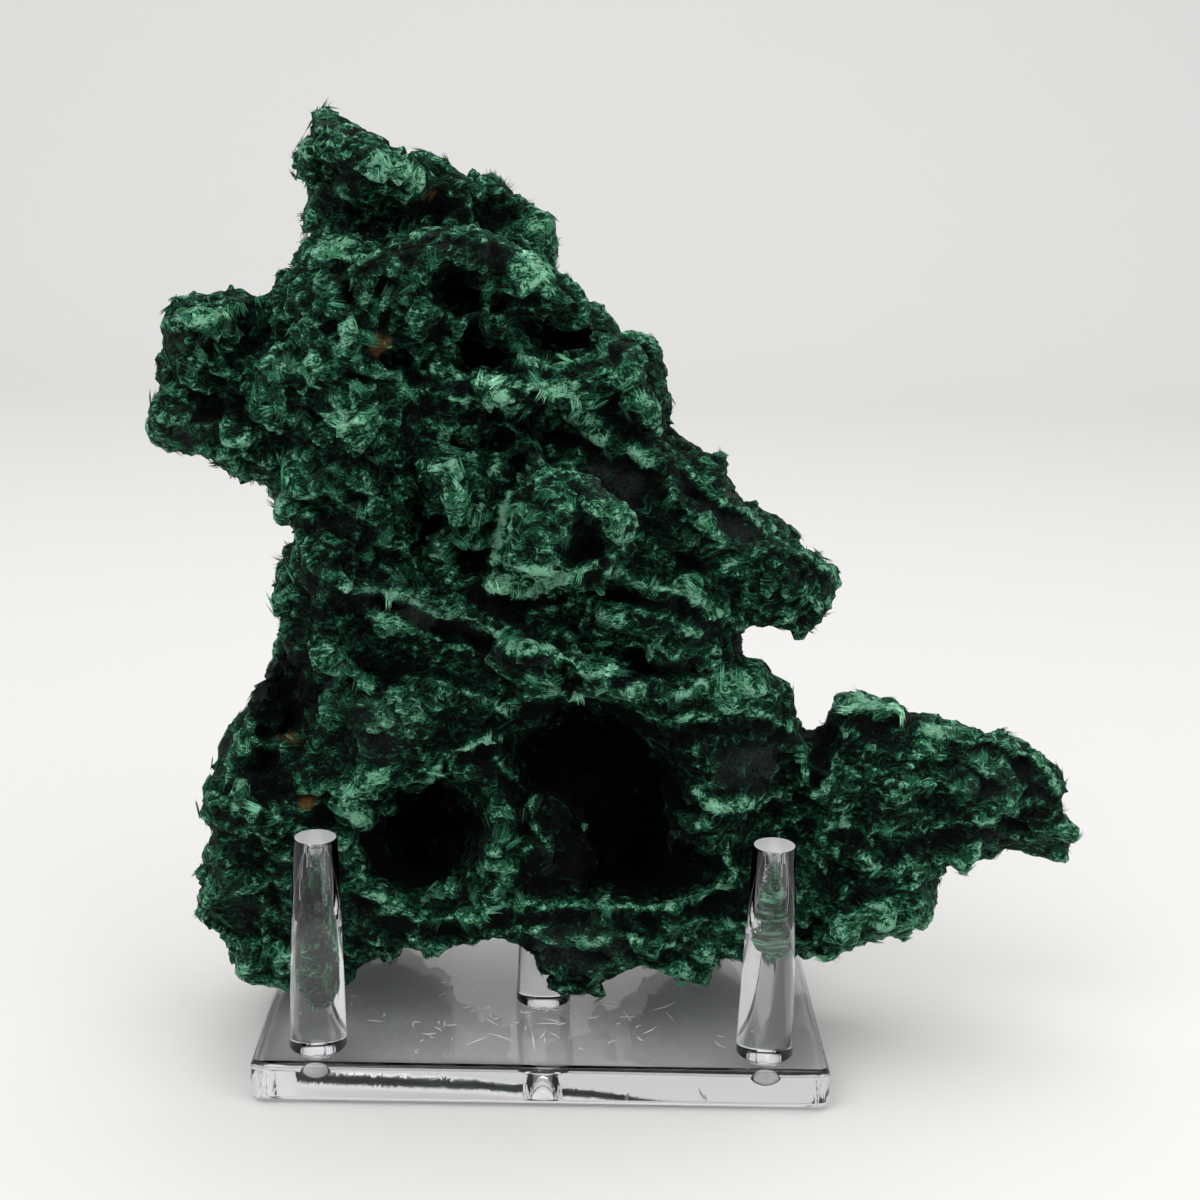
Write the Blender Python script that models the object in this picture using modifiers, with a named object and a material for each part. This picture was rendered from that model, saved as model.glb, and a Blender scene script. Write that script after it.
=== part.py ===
"""Malachite specimen on a clear stand with three pegs.

Metres, +Z up. The origin is the middle of the base's underside. The front of the
object faces -Y, and the stone's left is at -X.
"""

import math

import bmesh
import bpy
from mathutils import Matrix, Vector

MM = 0.001

# The stand, in metres.
BASE_WIDTH = 0.120
BASE_DEPTH = 0.074
BASE_THICKNESS = 0.0086
BASE_CORNER = 0.0026
BASE_EDGE = 0.0012
PEG_HEIGHT = 0.0465
PEG_FOOT_RADIUS = 0.00605
PEG_TOP_RADIUS = 0.0045
PEG_TOP_EDGE = 0.0005
PEG_SIDE = 0.0468
PEG_FRONT_Y = -0.0282
PEG_REAR_Y = -0.0051
STUB_RADIUS = 0.0041
STUB_LENGTH = 0.0022
HOLE_RADIUS = 0.0044
HOLE_DEPTH = 0.0060
TOUCH_GAP = 0.0003
ROUND_SIDES = 24
BALL_STEPS = 4
CORNER_STEPS = 4
EDGE_STEPS = 2
# Edges that turn by more than this stay sharp.
CREASE_ANGLE = math.radians(35)
# The plate's rims turn by more than this before they are rounded.
RIM_ANGLE = math.radians(60)

# The stone. Its outlines are drawn in millimetres on an upright plane, as they are
# seen from the viewpoint, and each point then moves along its line of sight to its depth.
VIEWPOINT = Vector((2.9, -393.8, 202.8))
PLANE_Y = -5.0
VOXEL = 0.0016
FINE_VOXEL = 0.0014
STONE_TRIANGLES = 8000
STAND_GAP = 0.0004
CLEARANCE_WIDTH = 0.3
CLEARANCE_HEIGHT = 0.1
# The size and the depth of the stone's pits and ledges.
PIT_SIZE = 0.011
PIT_DEPTH = 0.0045
HOLLOW_PIT_DEPTH = 0.0050
HOLLOW_PIT_LEVEL = 0.5
LEDGE_SIZE = 0.020
LEDGE_DEPTH = 0.0022
# The level of each texture that leaves the surface where it is.
PIT_LEVEL = 0.74
LEDGE_LEVEL = 0.85

# Outlines of the stone's lobes, as x and z.
SPIRE = [
    (-46.5, 199.5), (-42, 198), (-38.5, 194), (-35, 192.5), (-31.5, 190), (-28, 190.3),
    (-25, 189.5), (-20, 185.5), (-17, 185), (-16, 181.5), (-17, 172), (-30, 166), (-47, 168),
    (-48, 175), (-48.5, 179), (-51.3, 183), (-50, 186.5), (-52.3, 189), (-52.3, 191.5), (-49, 196),
]
SMALL_SPIRE = [
    (-15.3, 181), (-15.3, 185), (-14.3, 187.2), (-10, 186.5), (-7, 183.5), (-5, 181), (-3, 178),
    (-4, 175), (-1.2, 173.7), (-1, 170), (-6, 164), (-17, 166), (-18, 176),
]
FLAP = [
    (-51.8, 170), (-50.5, 171.7), (-48, 173.2), (-47.8, 175.5), (-44, 176.3), (-40, 175.5),
    (-38, 170), (-42, 163), (-49, 164.5), (-50.3, 168),
]
LEFT_WING = [
    (-84.8, 131.5), (-82.5, 137.5), (-80.5, 139.2), (-80.5, 143.5), (-78.2, 149.5), (-78.6, 157),
    (-74, 162.5), (-67.5, 164.1), (-64.5, 163.8), (-60, 160.8), (-58.5, 164.5), (-54.5, 168.3),
    (-50, 166), (-44, 160), (-44, 134), (-55.5, 127), (-57.5, 128.5), (-59.5, 125.7),
    (-62, 125.7), (-66, 127.2), (-70, 124.7), (-72, 127.3), (-79, 129),
]
UPPER_BODY = [
    (-54, 163), (-46, 168), (-38, 172), (-28, 176), (-16, 176.5), (-9, 174.8), (-4, 171.5),
    (0, 168.3), (4, 164.5), (8, 158.5), (12, 156.4), (20, 154.8), (20.3, 149.5), (23.5, 142.5),
    (22.5, 138), (25.5, 133.5), (24, 122), (-30, 112), (-52, 118), (-57, 117.5), (-57, 124.5),
    (-55.3, 127), (-57, 140),
]
ARM = [
    (22, 135), (25.5, 133.6), (28.5, 133.6), (34.5, 130.2), (38.5, 126.5), (38.5, 121.6),
    (46.5, 118), (50, 116), (52, 113), (58, 109.7), (60.5, 107.7), (61, 103.5), (60.5, 100),
    (58, 98), (53, 96.3), (48.5, 94.2), (46.5, 95.7), (40.5, 95.2), (39, 93.3), (39, 90),
    (20, 88), (5, 100), (8, 130),
]
MID_BODY = [
    (-53, 118), (-53, 112), (-55.3, 110), (-57.2, 102), (-56.3, 98), (-57.2, 90), (-58, 84),
    (-60.8, 80.5), (-50, 62), (-10, 60), (30, 62), (52, 66), (54.7, 71), (52, 75.5), (52, 78),
    (51, 80.8), (48.5, 84), (43, 86.5), (39, 90), (30, 118), (0, 126),
]
RIGHT_WING = [
    (42, 62), (54.6, 69), (57.5, 69.7), (59.3, 75), (59.3, 79.3), (64.5, 82), (68, 81.2),
    (72.5, 79.8), (76.5, 76), (82.5, 76.5), (85, 74), (91, 71.4), (96.5, 72.7), (99.5, 72.3),
    (104.5, 69), (110.5, 64), (113.5, 58), (115, 50), (114, 45.3), (110, 44), (105.5, 46.4),
    (101, 48), (98, 45), (95.3, 44.3), (94, 41.5), (90, 40.2), (86.7, 38), (85.5, 33), (83.3, 28.3),
    (81, 26.5), (76.5, 26), (75, 23.2), (70, 22.3), (67, 21.5), (63, 22.3), (57.5, 20.7),
    (50, 19), (40, 18), (30, 40),
]
LOWER_LEFT = [
    (-60.8, 80.5), (-62, 77.5), (-65.5, 73.5), (-69, 68), (-71.5, 65), (-74.5, 60), (-75.3, 55),
    (-75, 48), (-72.7, 41), (-73.7, 36), (-75.5, 32.5), (-75.3, 27.5), (-73.3, 26.6), (-71, 21),
    (-69.3, 19.5), (-68.3, 13), (-68, 10), (-66, 9.5), (-64, 11.5), (-60, 11), (-56, 12),
    (-50, 10.5), (-44, 12.8), (-40.5, 15), (-34, 18.5), (-25, 21.3), (-14, 22.8), (-10, 40),
    (-8, 70), (-30, 90), (-50, 88),
]
BRIDGE = [
    (-18, 22.8), (-12.5, 24), (-7, 22), (-4, 17.5), (-2, 11.5), (0, 8.8), (4, 7), (7, 8.5),
    (13.5, 9.3), (15.5, 12), (17.5, 14.6), (23, 15.5), (28.5, 16.8), (33, 14.8), (37, 15),
    (43, 18.5), (50, 19), (50, 34), (30, 31), (0, 30), (-18, 34),
]
HOLLOW_WALL = [(-20, 26), (-14, 74), (40, 74), (46, 24), (20, 26)]
# Each lobe: its outline, its front and its back in y, and the rounding of its edges.
LOBES = [
    (SPIRE, 2, 20, 2.5),
    (SMALL_SPIRE, 5, 16, 2),
    (FLAP, -5, 6, 1.5),
    (LEFT_WING, -4, 11, 2),
    (UPPER_BODY, -15, 18, 2.5),
    (ARM, -11, 12, 2.5),
    (MID_BODY, -18, 20, 2.5),
    (RIGHT_WING, -9, 12, 2.5),
    (LOWER_LEFT, -17, 4, 2.5),
    (BRIDGE, -22, -11, 2),
    (HOLLOW_WALL, -18, 14, 2),
]

# Lumps, as centre x, y, z, half sizes in x, y, z, and a lean to the right in degrees.
FRONT_LUMPS = [
    (-38, -2, 188, 12, 10, 6.5, 20),
    (-24, 4, 183, 8, 9, 4, 20),
    (-46, -4, 170, 5.5, 6, 4, -20),
    (-33, -16, 168, 11, 7, 5, -15),
    (-19, -16, 172, 9, 7, 4, 0),
    (-4, -13, 166, 10, 7, 4, 40),
    (-45, -15, 152, 9, 8, 11, 0),
    (-71, -5, 152, 7, 8, 9, 0),
    (-74, -3, 136, 9, 7, 5, 15),
    (-59, -8, 142, 5, 8, 13, 20),
    (-40, -18, 136, 8, 7, 6, 0),
    (-27, -17, 158, 8, 8, 5, 0),
    (1, -17, 148, 10, 8, 4, 10),
    (14, -12, 145, 8, 10, 9, 30),
    (-10, -20, 143, 12, 7, 3, 15),
    (-22, -22, 124, 8, 7, 6, 40),
    (4, -26, 116, 13, 12, 14, 0),
    (-3, -30, 106, 11, 7, 4, -8),
    (30, -14, 118, 12, 8, 6, 45),
    (45, -10, 108, 13, 9, 8, 30),
    (33, 8, 126, 6, 7, 5, 30),
    (26, -18, 104, 12, 9, 5, 15),
    (22, -20, 94, 14, 9, 4, 10),
    (-45, -17, 105, 9, 8, 8, 0),
    (-30, -20, 93, 12, 8, 4, 12),
    (-47, -18, 88, 8, 7, 5, 0),
    (-2, -26, 86, 14, 10, 3.5, 8),
    (18, -26, 82, 10, 9, 3, 12),
    (-30, -20, 76, 12, 8, 8, 0),
    (42, -15, 82, 8, 9, 6, 10),
    (40, -17, 65, 11, 9, 9, 0),
    (-40, -15, 58, 10, 8, 7, -20),
    (-62, -13, 50, 11, 10, 12, 0),
    (-60, -8, 25, 9, 9, 10, 0),
    (-10, -20, 47, 4.5, 6, 15, 0),
    (-30, -16, 26, 12, 6, 4, 20),
    (7, -18, 17, 7, 6, 8, 0),
    (25, -18, 23, 14, 6, 6, 0),
    (63, -6, 74, 6, 8, 5, 0),
    (60, -12, 62, 6, 8, 8, -30),
    (76, -8, 60, 10, 9, 11, 0),
    (96, -5, 58, 12, 8, 9, 20),
    (66, -10, 45, 10, 7, 7, 0),
    (68, -8, 31, 11, 8, 7, 0),
]
BACK_LUMPS = [
    (-38, 18, 186, 9, 8, 8, 0),
    (-30, 18, 160, 20, 11, 12, 10),
    (-45, 14, 138, 14, 12, 16, 0),
    (-66, 8, 146, 13, 8, 12, 0),
    (4, 18, 148, 15, 11, 16, 30),
    (-18, 20, 122, 20, 14, 16, 0),
    (18, 18, 108, 20, 12, 16, 0),
    (44, 10, 106, 13, 9, 8, 30),
    (-34, 20, 88, 19, 13, 18, 0),
    (10, 20, 82, 18, 14, 14, 0),
    (40, 14, 72, 14, 13, 12, 0),
    (-56, 14, 58, 15, 14, 16, 0),
    (-36, 22, 40, 17, 12, 18, 0),
    (-27, 14, 54, 14, 9, 15, 0),
    (30, 16, 42, 15, 13, 20, 0),
    (64, 8, 52, 15, 11, 17, 0),
    (92, 5, 56, 15, 9, 11, 15),
    (-38, 14, 30, 20, 11, 8, 0),
    (34, 12, 24.5, 14, 9, 8, 0),
    (-52, 10, 22, 9, 8, 9, 0),
]

# Hollows cut into the stone, in the same terms as the lumps.
HOLLOWS = [
    (8, -30, 69, 18, 35, 9.5, -5),
    (18, -24, 52, 9, 32, 17, 0),
    (4, -36, 48, 14, 17, 18, 0),
    (-27, -26, 48, 11, 28, 14, 30),
    (-58, -22, 70, 9, 16, 6, -50),
    (-55, -18, 82, 5, 12, 5, 0),
    (-40, -20, 162, 3, 12, 2.5, 0),
    (-19, -24, 165, 5, 14, 2.5, 0),
    (-15, -24, 151, 7, 22, 4, 10),
    (1, -24, 155.5, 6, 20, 3.2, 0),
    (-29, -22, 149, 7, 18, 2.5, 35),
    (-2, -26, 137.5, 12, 22, 3.5, 0),
    (-27, -24, 116, 4, 14, 12, 0),
    (-25, -26, 104, 8, 14, 2.5, 30),
    (-37, -6, 177.5, 12, 10, 3.2, 0),
    (20, -28, 87, 8, 18, 2.5, 0),
    (10, -40, 113, 3.5, 12, 6, 0),
    (48, -18, 50, 3, 12, 10, 30),
    (64, -14, 40, 5, 8, 3, 30),
    (-62, -8, 156, 3.5, 9, 4, 0),
    (-58, -10, 132, 6, 9, 3, 0),
    (0, 8, 32, 9.5, 20.5, 25, 0),
    (0, 27, 34, 10, 20, 22, 0),
    (14, 34, 122, 9, 12, 8, 0),
    (-52, 30, 108, 8, 14, 7, 0),
    (58, 22, 78, 7, 10, 9, 0),
    (-16, 36, 146, 7, 12, 9, 0),
]
WINDOW = (-52.9, 3, 159.9, 1.3, 30, 1.2, 0)

MALACHITE_GREEN = (0.012, 0.060, 0.036, 1.0)
CLEAR_TINT = (0.93, 0.94, 0.95, 1.0)
STONE_ROUGHNESS = 0.6
CLEAR_ROUGHNESS = 0.05
CLEAR_IOR = 1.49


def clear_objects():
    for item in list(bpy.data.objects):
        bpy.data.objects.remove(item, do_unlink=True)


def new_collection(name):
    collection = bpy.data.collections.new(name)
    bpy.context.scene.collection.children.link(collection)
    return collection


def new_material(name, colour, roughness, metallic=0.0, transmission=0.0, ior=1.5):
    material = bpy.data.materials.new(name)
    material.use_nodes = True
    shader = material.node_tree.nodes["Principled BSDF"]
    shader.inputs["Base Color"].default_value = colour
    shader.inputs["Roughness"].default_value = roughness
    shader.inputs["Metallic"].default_value = metallic
    shader.inputs["Transmission Weight"].default_value = transmission
    shader.inputs["IOR"].default_value = ior
    material.diffuse_color = colour
    return material


def add_object(name, mesh, collection):
    item = bpy.data.objects.new(name, mesh)
    collection.objects.link(item)
    return item


def evaluated_mesh(item):
    """The mesh of an object with its modifiers applied, in world space."""
    bpy.context.view_layer.update()
    graph = bpy.context.evaluated_depsgraph_get()
    mesh = bpy.data.meshes.new_from_object(item.evaluated_get(graph))
    mesh.transform(item.matrix_world)
    return mesh


def settle(item):
    """Apply an object's modifiers and its place to its mesh."""
    mesh = evaluated_mesh(item)
    item.modifiers.clear()
    item.matrix_world = Matrix()
    item.data = mesh


def slab(bm, outline, front, back, rounding):
    """Add a lobe: an outline in x and z with a thickness in y and rounded edges."""
    curve = bpy.data.curves.new("outline", "CURVE")
    curve.dimensions = "2D"
    curve.fill_mode = "BOTH"
    curve.extrude = ((back - front) / 2 - rounding) * MM
    curve.bevel_depth = rounding * MM
    curve.bevel_resolution = 2
    curve.offset = -rounding * MM
    spline = curve.splines.new("POLY")
    spline.points.add(len(outline) - 1)
    for point, (x, z) in zip(spline.points, outline):
        point.co = (x * MM, z * MM, 0, 1)
    spline.use_cyclic_u = True
    item = add_object("outline", curve, bpy.context.scene.collection)
    item.location.y = (front + back) / 2 * MM
    item.rotation_euler.x = math.pi / 2
    mesh = evaluated_mesh(item)
    bm.from_mesh(mesh)
    bpy.data.objects.remove(item, do_unlink=True)
    bpy.data.curves.remove(curve)


def lump(bm, shape):
    """Add an egg-shaped lump that leans in the plane of the outlines."""
    x, y, z, half_x, half_y, half_z, lean = shape
    place = Matrix.Translation(Vector((x, y, z)) * MM)
    turn = Matrix.Rotation(math.radians(lean), 4, "Y")
    size = Matrix.Diagonal((half_x * MM, half_y * MM, half_z * MM, 1))
    bmesh.ops.create_icosphere(bm, subdivisions=3, radius=1, matrix=place @ turn @ size)


def lump_object(name, shapes, collection):
    """Several lumps fused in one closed body."""
    bm = bmesh.new()
    for shape in shapes:
        lump(bm, shape)
    mesh = bpy.data.meshes.new(name)
    bm.to_mesh(mesh)
    bm.free()
    item = add_object(name, mesh, collection)
    remesh(item, VOXEL)
    settle(item)
    return item


def as_cutter(item):
    item.hide_render = True
    item.display_type = "WIRE"


def remesh(item, voxel):
    modifier = item.modifiers.new("remesh", "REMESH")
    modifier.mode = "VOXEL"
    modifier.voxel_size = voxel


def displace(item, texture, strength, mid_level):
    modifier = item.modifiers.new("displace", "DISPLACE")
    modifier.texture = texture
    modifier.texture_coords = "LOCAL"
    modifier.strength = strength
    modifier.mid_level = mid_level


def cut(item, cutter, operation="DIFFERENCE"):
    modifier = item.modifiers.new(cutter.name, "BOOLEAN")
    modifier.operation = operation
    modifier.object = cutter


def pit_texture():
    texture = bpy.data.textures.new("pits", "VORONOI")
    texture.noise_scale = PIT_SIZE
    texture.distance_metric = "DISTANCE"
    texture.noise_intensity = 1.0
    return texture


def ledge_texture():
    texture = bpy.data.textures.new("ledges", "MUSGRAVE")
    texture.musgrave_type = "RIDGED_MULTIFRACTAL"
    texture.noise_scale = LEDGE_SIZE
    texture.octaves = 3
    texture.lacunarity = 2.2
    return texture


def along_sight(mesh):
    """Move each point along its line of sight, from the drawing plane to its own depth."""
    eye = VIEWPOINT * MM
    for vertex in mesh.vertices:
        reach = (vertex.co.y - eye.y) / (PLANE_Y * MM - eye.y)
        vertex.co.x = eye.x + (vertex.co.x - eye.x) * reach
        vertex.co.z = eye.z + (vertex.co.z - eye.z) * reach


def largest_body(mesh):
    """Keep the largest connected body and drop any crumb that a cut left loose."""
    bm = bmesh.new()
    bm.from_mesh(mesh)
    unseen = set(bm.verts)
    bodies = []
    while unseen:
        edge_of_body = [unseen.pop()]
        body = set(edge_of_body)
        while edge_of_body:
            vertex = edge_of_body.pop()
            for edge in vertex.link_edges:
                other = edge.other_vert(vertex)
                if other not in body:
                    body.add(other)
                    unseen.discard(other)
                    edge_of_body.append(other)
        bodies.append(body)
    bodies.sort(key=len)
    for body in bodies[:-1]:
        bmesh.ops.delete(bm, geom=list(body), context="VERTS")
    bm.to_mesh(mesh)
    bm.free()


def make_stone(parts, cutters, material):
    bm = bmesh.new()
    for outline, front, back, rounding in LOBES:
        slab(bm, outline, front, back, rounding)
    for shape in FRONT_LUMPS + BACK_LUMPS:
        lump(bm, shape)
    mesh = bpy.data.meshes.new("malachite")
    bm.to_mesh(mesh)
    bm.free()
    stone = add_object("malachite", mesh, parts)
    remesh(stone, VOXEL)
    settle(stone)

    hollows = lump_object("hollows", HOLLOWS + [WINDOW], cutters)
    displace(hollows, pit_texture(), HOLLOW_PIT_DEPTH, HOLLOW_PIT_LEVEL)
    remesh(hollows, VOXEL)
    settle(hollows)
    as_cutter(hollows)
    cut(stone, hollows)
    remesh(stone, FINE_VOXEL)
    displace(stone, pit_texture(), PIT_DEPTH, PIT_LEVEL)
    displace(stone, ledge_texture(), LEDGE_DEPTH, LEDGE_LEVEL)
    settle(stone)
    remesh(stone, FINE_VOXEL)
    settle(stone)
    largest_body(stone.data)
    along_sight(stone.data)

    thin = stone.modifiers.new("thin", "DECIMATE")
    thin.ratio = STONE_TRIANGLES / (2 * len(stone.data.polygons))
    thin.use_collapse_triangulate = True
    settle(stone)
    for cutter in stand_clearances(cutters):
        cut(stone, cutter)
    settle(stone)
    largest_body(stone.data)
    stone.data.materials.clear()
    stone.data.materials.append(material)
    return stone


def stand_clearances(collection):
    """Cutters that keep the stone clear of the plate and the pegs it touches."""
    plate_top = BASE_THICKNESS + STAND_GAP
    bm = bmesh.new()
    size = Matrix.Diagonal((CLEARANCE_WIDTH, CLEARANCE_WIDTH, CLEARANCE_HEIGHT, 1))
    drop = Matrix.Translation((0, 0, plate_top - CLEARANCE_HEIGHT / 2))
    bmesh.ops.create_cube(bm, size=1, matrix=drop @ size)
    plate = bmesh_object("plate_clearance", bm, collection)
    as_cutter(plate)
    cutters = [plate]
    for name, x, y in peg_places():
        bm = bmesh.new()
        height = PEG_HEIGHT + 2 * STAND_GAP
        bmesh.ops.create_cone(
            bm, cap_ends=True, segments=ROUND_SIDES,
            radius1=PEG_FOOT_RADIUS + STAND_GAP, radius2=PEG_TOP_RADIUS + STAND_GAP,
            depth=height, matrix=Matrix.Translation((x, y, BASE_THICKNESS + height / 2)))
        cutter = bmesh_object(name + "_clearance", bm, collection)
        as_cutter(cutter)
        cutters.append(cutter)
    return cutters


def bmesh_object(name, bm, collection):
    mesh = bpy.data.meshes.new(name)
    bm.to_mesh(mesh)
    bm.free()
    return add_object(name, mesh, collection)


def peg_places():
    return [
        ("peg_front_left", -PEG_SIDE, PEG_FRONT_Y),
        ("peg_front_right", PEG_SIDE, PEG_FRONT_Y),
        ("peg_rear", 0.0, PEG_REAR_Y),
    ]


def turned(name, profile, collection):
    """A solid turned round Z from a profile that runs down its outer side."""
    mesh = bpy.data.meshes.new(name)
    edges = [(i, i + 1) for i in range(len(profile) - 1)]
    mesh.from_pydata([(radius, 0, z) for radius, z in profile], edges, [])
    item = add_object(name, mesh, collection)
    screw = item.modifiers.new("turn", "SCREW")
    screw.axis = "Z"
    screw.steps = ROUND_SIDES
    screw.render_steps = ROUND_SIDES
    screw.use_merge_vertices = True
    screw.merge_threshold = 0.00001
    return item


def make_peg(name, x, y, parts, material):
    """A tapered peg, flat on top, with a short stub that fits the hole in the plate."""
    top = PEG_HEIGHT
    foot = TOUCH_GAP
    profile = [
        (0, top), (PEG_TOP_RADIUS - PEG_TOP_EDGE, top), (PEG_TOP_RADIUS, top - PEG_TOP_EDGE),
        (PEG_FOOT_RADIUS, foot), (STUB_RADIUS, foot), (STUB_RADIUS, -STUB_LENGTH),
        (0, -STUB_LENGTH),
    ]
    peg = turned(name, profile, parts)
    settle(peg)
    peg.location = (x, y, BASE_THICKNESS)
    peg.data.materials.append(material)
    peg.data.shade_smooth()
    peg.data.set_sharp_from_angle(angle=CREASE_ANGLE)
    return peg


def hole_cutter(name, x, y, collection):
    """The round-bottomed hole under a peg: a short bore that ends in a half ball."""
    ball_centre = -(HOLE_DEPTH - HOLE_RADIUS)
    arc = []
    for step in range(1, BALL_STEPS):
        angle = math.pi / 2 * step / BALL_STEPS
        arc.append((HOLE_RADIUS * math.cos(angle), ball_centre - HOLE_RADIUS * math.sin(angle)))
    mouth = HOLE_RADIUS / 2
    profile = [(0, mouth), (HOLE_RADIUS, mouth), (HOLE_RADIUS, ball_centre)] + arc
    profile.append((0, ball_centre - HOLE_RADIUS))
    cutter = turned(name, profile, collection)
    settle(cutter)
    cutter.location = (x, y, BASE_THICKNESS)
    as_cutter(cutter)
    return cutter


def make_base(parts, cutters, material):
    """The plate: a box with round corners and softened edges, and a hole for each peg."""
    bm = bmesh.new()
    size = Matrix.Diagonal((BASE_WIDTH, BASE_DEPTH, BASE_THICKNESS, 1))
    lift = Matrix.Translation((0, 0, BASE_THICKNESS / 2))
    bmesh.ops.create_cube(bm, size=1, matrix=lift @ size)
    upright = [e for e in bm.edges if abs(e.verts[0].co.z - e.verts[1].co.z) > BASE_EDGE]
    bmesh.ops.bevel(bm, geom=upright, offset=BASE_CORNER, offset_type="OFFSET",
                    segments=CORNER_STEPS, profile=0.5, affect="EDGES", material=-1)
    rims = [e for e in bm.edges if abs(e.calc_face_angle(0)) > RIM_ANGLE]
    bmesh.ops.bevel(bm, geom=rims, offset=BASE_EDGE, offset_type="OFFSET",
                    segments=EDGE_STEPS, profile=0.5, affect="EDGES", material=-1)
    base = bmesh_object("stand_base", bm, parts)
    for name, x, y in peg_places():
        cut(base, hole_cutter(name + "_hole", x, y, cutters))
    settle(base)
    base.data.materials.clear()
    base.data.materials.append(material)
    base.data.shade_smooth()
    base.data.set_sharp_from_angle(angle=CREASE_ANGLE)
    return base


def main():
    clear_objects()
    parts = new_collection("malachite_specimen")
    cutters = new_collection("cutters")
    stone_material = new_material("malachite", MALACHITE_GREEN, STONE_ROUGHNESS)
    clear_material = new_material("clear_acrylic", CLEAR_TINT, CLEAR_ROUGHNESS, transmission=1.0, ior=CLEAR_IOR)
    make_base(parts, cutters, clear_material)
    for name, x, y in peg_places():
        make_peg(name, x, y, parts, clear_material)
    make_stone(parts, cutters, stone_material)


main()
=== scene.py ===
"""Looks of the malachite specimen: the fibrous stone, its clear stand, and the studio round them."""

import itertools
import math

import bmesh
import bpy
import numpy as np
from bpy.props import FloatProperty, FloatVectorProperty, IntProperty, PointerProperty
from mathutils import Matrix, Vector
from mathutils.bvhtree import BVHTree


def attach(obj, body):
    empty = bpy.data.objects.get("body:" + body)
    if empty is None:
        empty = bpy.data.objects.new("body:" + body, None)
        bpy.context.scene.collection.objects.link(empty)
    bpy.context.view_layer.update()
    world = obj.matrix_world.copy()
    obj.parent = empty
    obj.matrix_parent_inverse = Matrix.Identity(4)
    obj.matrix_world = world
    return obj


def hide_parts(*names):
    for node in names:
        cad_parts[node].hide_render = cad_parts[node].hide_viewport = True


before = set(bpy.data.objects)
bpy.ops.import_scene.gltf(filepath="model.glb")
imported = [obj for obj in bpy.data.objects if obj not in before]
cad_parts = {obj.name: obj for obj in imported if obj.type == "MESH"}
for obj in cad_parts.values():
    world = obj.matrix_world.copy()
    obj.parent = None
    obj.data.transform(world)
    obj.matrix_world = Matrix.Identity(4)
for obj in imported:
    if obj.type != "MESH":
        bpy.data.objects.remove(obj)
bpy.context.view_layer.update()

bl_info = {
    "name": "Malachite specimen",
    "version": (1, 0, 0),
    "blender": (4, 5, 0),
    "location": "3D View > Sidebar > Specimen",
    "description": "Fibrous malachite on a clear three-peg stand",
    "category": "Add Mesh",
}

MM = 0.001
PHOTO_SIZE = 1200

# The stone's plates: cells whose fibres fan out from their centres, in mm.
PLATE_SIZE = 12.0
PLATE_SEED = 21
SLOPE = -24.0
HONEYCOMB_CENTRE = np.array((-32.0, -10.0, 138.0))
SIGHT_SLACK = 0.0016
THINNEST = 5.0
FREE_HEIGHT = 0.014
LOWEST = 0.0088
FLOOR_GAP = 0.0006

# The stand, in metres.
PEGS = ("peg_front_left", "peg_front_right", "peg_rear")
STUB_RADIUS = 0.0041
PEG_TOP_RADIUS = 0.0045
PEG_ROUND = 0.0006
PEG_SIDES = 96
MARKS_BOTTOM = 0.034
MARKS_TOP = 0.048
HOLE_RADIUS = 0.0044
HOLE_DEPTH = 0.0060
BALL_STEPS = 12
PLATE_CORNER = 0.0026
PLATE_EDGE = 0.0016
RIM_ANGLE = math.radians(60)
CREASE_ANGLE = math.radians(35)
SCRATCH_SEED = 5
SCRATCH_SINK = 0.00005
SCRATCH_RISE = 0.00005

# Where the photograph shows a feature, in its pixels: centre, half width, half height, turn, and then
# a pit's depth in mm.
PITS = {
    "spire_foot": (434, 208, 34, 12, 5, 5.0),
    "upper_left": (455, 285, 24, 20, 0, 9.0),
    "upper": (487, 352, 32, 20, 10, 12.0),
    "upper_right": (563, 337, 36, 16, 5, 12.0),
    "left_small": (402, 358, 18, 12, 0, 7.0),
    "left_top": (352, 300, 14, 12, 0, 5.0),
    "flap_side": (322, 330, 10, 12, 0, 4.0),
    "honey_a": (385, 285, 14, 9, 0, 5.0),
    "honey_b": (415, 262, 12, 8, 0, 4.0),
    "honey_c": (500, 300, 11, 12, 0, 5.0),
    "honey_d": (360, 375, 12, 9, 0, 5.0),
    "honey_e": (438, 330, 12, 10, 0, 4.0),
    "slot": (422, 512, 20, 46, 0, 9.0),
    "under_step": (480, 440, 44, 10, 8, 6.0),
    "beside_fan": (520, 480, 12, 22, 0, 5.0),
    "block_hollow": (584, 546, 24, 22, 0, 7.0),
    "mid_dark": (470, 560, 22, 16, 0, 5.0),
    "long_crevice": (432, 622, 85, 8, 18, 7.0),
    "centre": (600, 778, 98, 72, 4, 16.0),
    "centre_low": (640, 858, 76, 40, 8, 13.0),
    "centre_under": (560, 872, 50, 26, 0, 12.0),
    "lower_left": (424, 838, 66, 50, -22, 22.0),
    "left_side": (285, 690, 34, 50, 12, 9.0),
    "left_low": (268, 780, 26, 30, 0, 5.0),
    "right_gap": (822, 752, 9, 46, 12, 9.0),
    "wing_a": (860, 898, 14, 8, 0, 4.0),
    "wing_b": (905, 875, 10, 7, 0, 4.0),
    "wing_c": (985, 790, 16, 8, 0, 4.0),
    "arm_a": (690, 560, 26, 9, 20, 5.0),
    "arm_b": (655, 660, 44, 9, 6, 6.0),
    "left_wing_a": (208, 345, 12, 14, 0, 4.0),
    "left_wing_b": (245, 415, 16, 16, 0, 5.0),
}

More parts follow.
